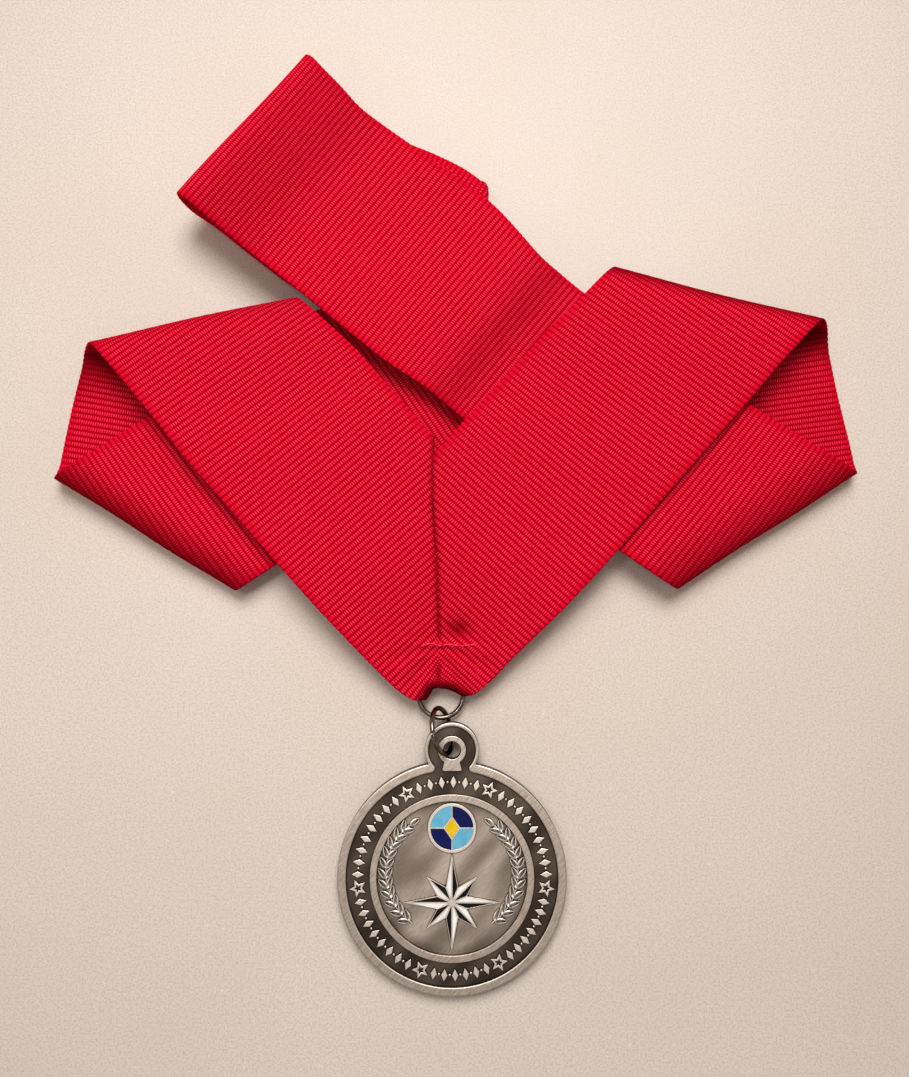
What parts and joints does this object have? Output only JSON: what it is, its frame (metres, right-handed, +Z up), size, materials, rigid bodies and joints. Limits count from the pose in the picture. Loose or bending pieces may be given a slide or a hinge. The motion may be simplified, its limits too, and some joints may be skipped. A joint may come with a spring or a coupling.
{
  "type": "neck award medal",
  "caption": "Struck round award medal with enamel emblem on a folded loop of ribbed red neck ribbon, joined by a ribbon ring and a jump ring, lying face up.",
  "frame": {"origin": "on the surface that it lies on, under the middle of its box", "axes": "+Z up from that surface, +Y from the disc towards the folded ribbon, +X to the right as the disc is read"},
  "size_m": [0.1628, 0.1872, 0.0136],
  "materials": {
    "ribbon_cloth": "ribbed woven polyester ribbon, soft sheen across the ribs",
    "dark_nickel": "dark nickel plated wire, glossy",
    "antique_silver": "antique silver plate, raised faces brushed, sunk ground darkened",
    "enamel_white": "soft enamel, gloss",
    "enamel_black": "soft enamel, gloss",
    "enamel_blue": "soft enamel, gloss",
    "enamel_navy": "soft enamel, gloss",
    "enamel_yellow": "soft enamel, gloss"
  },
  "bodies": {
    "root": {"ribbon": "ribbon_cloth", "ribbon_tip": "ribbon_cloth", "ribbon_ring": "dark_nickel", "jump_ring": "dark_nickel", "medal": "antique_silver", "enamel_white": "enamel_white", "enamel_black": "enamel_black", "enamel_blue": "enamel_blue", "enamel_navy": "enamel_navy", "enamel_yellow": "enamel_yellow"}
  },
  "joints": []
}
